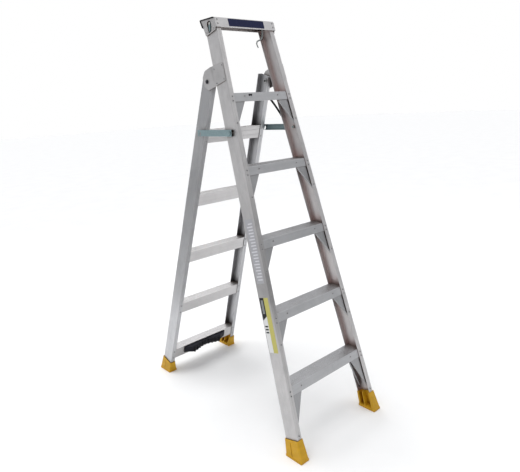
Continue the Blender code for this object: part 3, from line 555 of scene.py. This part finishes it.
def rung_rivets():
    """Two rivets at each corner of each rung. Behind the highest they clear the cap's edging, folded up."""
    ahead = []
    behind = []
    for number in range(RUNGS):
        height = LOWEST_RUNG + RUNG_PITCH * number
        highest = number == RUNGS - 1
        for side in SIDES.values():
            for drop in RUNG_DROPS:
                s = REAR.level(height) - drop
                ahead.append(((side * (REAR.half_at(s) - REAR_LINE), 0.0, s), AHEAD))
            for drop in TOP_RUNG_DROPS if highest else RUNG_DROPS:
                s = REAR.level(height, REAR.depth) - drop
                behind.append(((side * (REAR.half_at(s) - REAR_LINE), REAR.depth, s), BEHIND))
    rivets("rung_rivets_front", REAR, ahead)
    rivets("rung_rivets_rear", REAR, behind)


def fitting_rivets():
    """Rivets of the hinge plates and of the cap."""
    places = []
    for side in SIDES.values():
        for d, s in HINGE_RIVETS:
            places.append(((side * (FRONT.half_at(s) + HINGE_PLATE), d, s), (side, 0, FRONT.taper)))
    rivets("hinge_plate_rivets", FRONT, places)
    end_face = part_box("cap_end_right")[1].x
    places = []
    for side in SIDES.values():
        for d in CAP_END_D:
            places.append(((side * end_face, d, CAP_END_S), (side, 0, 0)))
        for drop in CAP_DROPS:
            s = FRONT.level(CAP_HEIGHT, CAP_FRONT_D) - drop
            places.append(((side * (CAP_HALF_WIDTH - CAP_RIVET_INSET), CAP_FRONT_D, s), AHEAD))
    rivets("cap_rivets", FRONT, places, radius=CAP_RIVET_RADIUS)


def patches(name, outlines, surface, bed, top, material, slot="mill_aluminium"):
    """Thin flat patches on the front frame, from bed to top above a surface.

    The surface is a way to lay an outline's places on it, and the direction that points away from it.
    """
    put, out = surface
    work = bmesh.new()
    for corners in outlines:
        lower = [work.verts.new(put(a, b) + out * bed) for a, b in corners]
        upper = [work.verts.new(put(a, b) + out * top) for a, b in corners]
        work.faces.new(upper)
        work.faces.new(lower[::-1])
        for i in range(len(corners)):
            j = (i + 1) % len(corners)
            work.faces.new((lower[i], lower[j], upper[j], upper[i]))
    bmesh.ops.recalc_face_normals(work, faces=work.faces)
    return piece_of(name, mesh_from(name, work), [material], FRONT_BODY)


def rounded(corners, radius, steps=5):
    """An outline with its corners turned into arcs."""
    outline = []
    for i, corner in enumerate(corners):
        here = Vector(corner)
        last = (Vector(corners[i - 1]) - here).normalized()
        following = (Vector(corners[(i + 1) % len(corners)]) - here).normalized()
        for k in range(steps + 1):
            share = k / steps
            start = here + last * radius
            end = here + following * radius
            outline.append(start.lerp(here, share).lerp(here.lerp(end, share), share))
    return outline


def rectangle(a0, b0, a1, b1, radius=0.002):
    return rounded([(a0, b0), (a1, b0), (a1, b1), (a0, b1)], radius)


def stile_web(side):
    """A front stile's outer web as a surface for patches, in d and s."""

    def put(d, s):
        return FRONT.point(side * FRONT.half_at(s), d, s)

    return put, FRONT.way(side, 0, FRONT.taper)


def cap_apron():
    """The front of the cap as a surface for patches, in x and the drop below the cap's face."""
    top = FRONT.level(CAP_HEIGHT, CAP_FRONT_D)

    def put(x, drop):
        return FRONT.point(x, CAP_FRONT_D, top - drop)

    return put, FRONT.way(*AHEAD)


def bar(front, foot, length, height):
    back = front + length
    head = foot + height
    return [(front, foot), (back, foot), (back, head), (front, head)]


def make_labels():
    """Labels on the left stile, in plain fields."""
    web = stile_web(SIDES["left"])
    yellow = rectangle(DUTY_FRONT, DUTY_FOOT, DUTY_SPLIT - DUTY_SEAM, DUTY_HEAD)
    front, back = DUTY_SLANT
    white = [(DUTY_SPLIT, DUTY_FOOT), (DUTY_BACK, DUTY_FOOT), (DUTY_BACK, back), (DUTY_SPLIT, front)]
    front += DUTY_GAP
    back += DUTY_GAP
    black = [(DUTY_SPLIT, front), (DUTY_BACK, back), (DUTY_BACK, DUTY_HEAD), (DUTY_SPLIT, DUTY_HEAD)]
    labels = (
        ("silver_label", rectangle(*SILVER_LABEL), LABEL_SILVER),
        ("duty_label_yellow", yellow, LABEL_YELLOW),
        ("duty_label_black", rounded(black, DUTY_CORNER), LABEL_BLACK),
        ("duty_label_white", rounded(white, DUTY_CORNER), LABEL_WHITE),
    )
    for name, outline, material in labels:
        patches(name, [outline], web, LABEL_BED, LABEL_TOP, material)


def make_bars():
    """Plain bars on the labels, where they have print."""
    web = stile_web(SIDES["left"])
    pale = []
    for row in range(PALE_BARS):
        foot = PALE_BAR_FOOT + PALE_BAR_PITCH * row
        length = PALE_BAR_LENGTHS[row % len(PALE_BAR_LENGTHS)]
        pale.append(bar(PALE_BAR_FRONT, foot, length, PALE_BAR_HEIGHT))
    dark = [bar(DARK_BAR_FRONT, foot, DARK_BAR_LENGTH, DARK_BAR_HEIGHT) for foot in DARK_BAR_FEET]
    patches("silver_label_bars", pale, web, BAR_BED, BAR_TOP, LABEL_PALE)
    patches("black_label_bars", [bar(*GREY_BAR)], web, BAR_BED, BAR_TOP, LABEL_GREY)
    patches("white_label_bars", dark, web, BAR_BED, BAR_TOP, LABEL_BLACK)


def make_name_plate():
    """The name plate on the front of the cap, left plain."""
    plate = rectangle(*NAME_PLATE, PLATE_CORNER)
    patches("cap_plate", [plate], cap_apron(), LABEL_BED, PLATE_TOP, NAVY, "black_plastic")


def make_buffers():
    """Two small black buffers side by side on the front of the highest tread."""
    work = bmesh.new()
    s = FRONT.level(TREAD_PITCH * TREADS, TREAD_INSET) - BUFFER_DROP
    for x in BUFFER_PLACES:
        place = FRONT.point(x, TREAD_INSET, s)
        add_rivet(work, place, FRONT.way(*AHEAD), BUFFER_RADIUS, BUFFER_HEIGHT, core=0.40, steps=16)
    mesh = mesh_from("tread_buffers", work)
    piece_of("tread_buffers", mesh, [RUBBER, BLACK_PLASTIC], FRONT_BODY)


# ---------------------------------------------------------------- studio

def make_floor():
    mesh = bpy.data.meshes.new("studio_floor")
    reach = FLOOR_REACH
    corners = [(-reach, -reach, 0), (reach, -reach, 0), (reach, reach, 0), (-reach, reach, 0)]
    mesh.from_pydata(corners, [], [(0, 1, 2, 3)])
    floor = bpy.data.objects.new("studio_floor", mesh)
    bpy.context.scene.collection.objects.link(floor)
    graph = Graph("studio_floor", roughness=0.9)
    mottle = graph.ramp(graph.noise(graph.place(), 3.0, 4.0), 0.3, 0.7)
    mesh.materials.append(graph.finish(Base_Color=graph.mix(mottle, grey(0.90), grey(0.93))))


def add_softbox(name, place, target, size, power):
    light = bpy.data.lights.new(name, "AREA")
    light.shape = "RECTANGLE"
    light.size = size[0]
    light.size_y = size[1]
    light.energy = power
    lamp = bpy.data.objects.new(name, light)
    bpy.context.scene.collection.objects.link(lamp)
    lamp.location = place
    lamp.rotation_euler = (Vector(target) - Vector(place)).to_track_quat("-Z", "Y").to_euler()


def make_world():
    """A white cyclorama to the camera. Its light comes from behind and above more than from the front."""
    world = bpy.data.worlds.new("studio")
    bpy.context.scene.world = world
    world.use_nodes = True
    tree = world.node_tree
    backdrop = tree.nodes["Background"]
    backdrop.inputs["Color"].default_value = (1.0, 1.0, 1.0, 1.0)
    backdrop.inputs["Strength"].default_value = 1.0
    room = tree.nodes.new("ShaderNodeBackground")
    room.inputs["Color"].default_value = (0.97, 0.98, 1.0, 1.0)
    way = tree.nodes.new("ShaderNodeTexCoord").outputs["Generated"]
    turn = tree.nodes.new("ShaderNodeMapping")
    turn.inputs["Rotation"].default_value = (0.0, 0.0, math.radians(30))
    tree.links.new(way, turn.inputs["Vector"])
    parts = tree.nodes.new("ShaderNodeSeparateXYZ")
    tree.links.new(turn.outputs[0], parts.inputs[0])
    depth = tree.nodes.new("ShaderNodeMapRange")
    depth.interpolation_type = "SMOOTHSTEP"
    for key, value in (("From Min", -0.7), ("From Max", 0.8), ("To Min", ROOM_FRONT), ("To Max", ROOM_BACK)):
        depth.inputs[key].default_value = value
    tree.links.new(parts.outputs["Y"], depth.inputs["Value"])
    tree.links.new(depth.outputs[0], room.inputs["Strength"])
    seen = tree.nodes.new("ShaderNodeLightPath").outputs["Is Camera Ray"]
    choice = tree.nodes.new("ShaderNodeMixShader")
    tree.links.new(seen, choice.inputs[0])
    tree.links.new(room.outputs[0], choice.inputs[1])
    tree.links.new(backdrop.outputs[0], choice.inputs[2])
    tree.links.new(choice.outputs[0], tree.nodes["World Output"].inputs["Surface"])


def make_studio():
    make_floor()
    make_world()
    bpy.context.scene.view_settings.view_transform = "Standard"
    middle = (0.0, 0.0, 0.9)
    overhead = bpy.data.lights.new("overhead", "SUN")
    overhead.energy = SUN_STRENGTH
    overhead.angle = math.radians(SUN_SPREAD)
    lamp = bpy.data.objects.new("overhead", overhead)
    bpy.context.scene.collection.objects.link(lamp)
    lamp.rotation_euler = [math.radians(angle) for angle in SUN_TURN]
    add_softbox("key", (-2.6, -3.6, 3.2), middle, size=(1.8, 1.8), power=22)
    add_softbox("back", (1.6, 3.6, 2.4), middle, size=(2.4, 1.8), power=20)
    add_softbox("fill", (2.4, -2.8, 4.0), (0.0, -0.2, 1.6), size=(2.6, 2.6), power=12)


def make_camera():
    data = bpy.data.cameras.new("camera")
    camera = bpy.data.objects.new("camera", data)
    bpy.context.scene.collection.objects.link(camera)
    data.sensor_width = 36.0
    data.lens = CAMERA_LENS
    turn = Matrix.Rotation(math.radians(CAMERA_TURN), 4, "Z")
    tip = Matrix.Rotation(math.radians(90 - CAMERA_DOWN), 4, "X")
    roll = Matrix.Rotation(math.radians(CAMERA_ROLL), 4, "Z")
    camera.matrix_world = Matrix.Translation(CAMERA_PLACE) @ turn @ tip @ roll
    bpy.context.scene.camera = camera


make_camera()
make_studio()
paint_nodes()
tread_rivets()
brace_rivets()
rung_rivets()
fitting_rivets()
make_labels()
make_bars()
make_name_plate()
make_buffers()
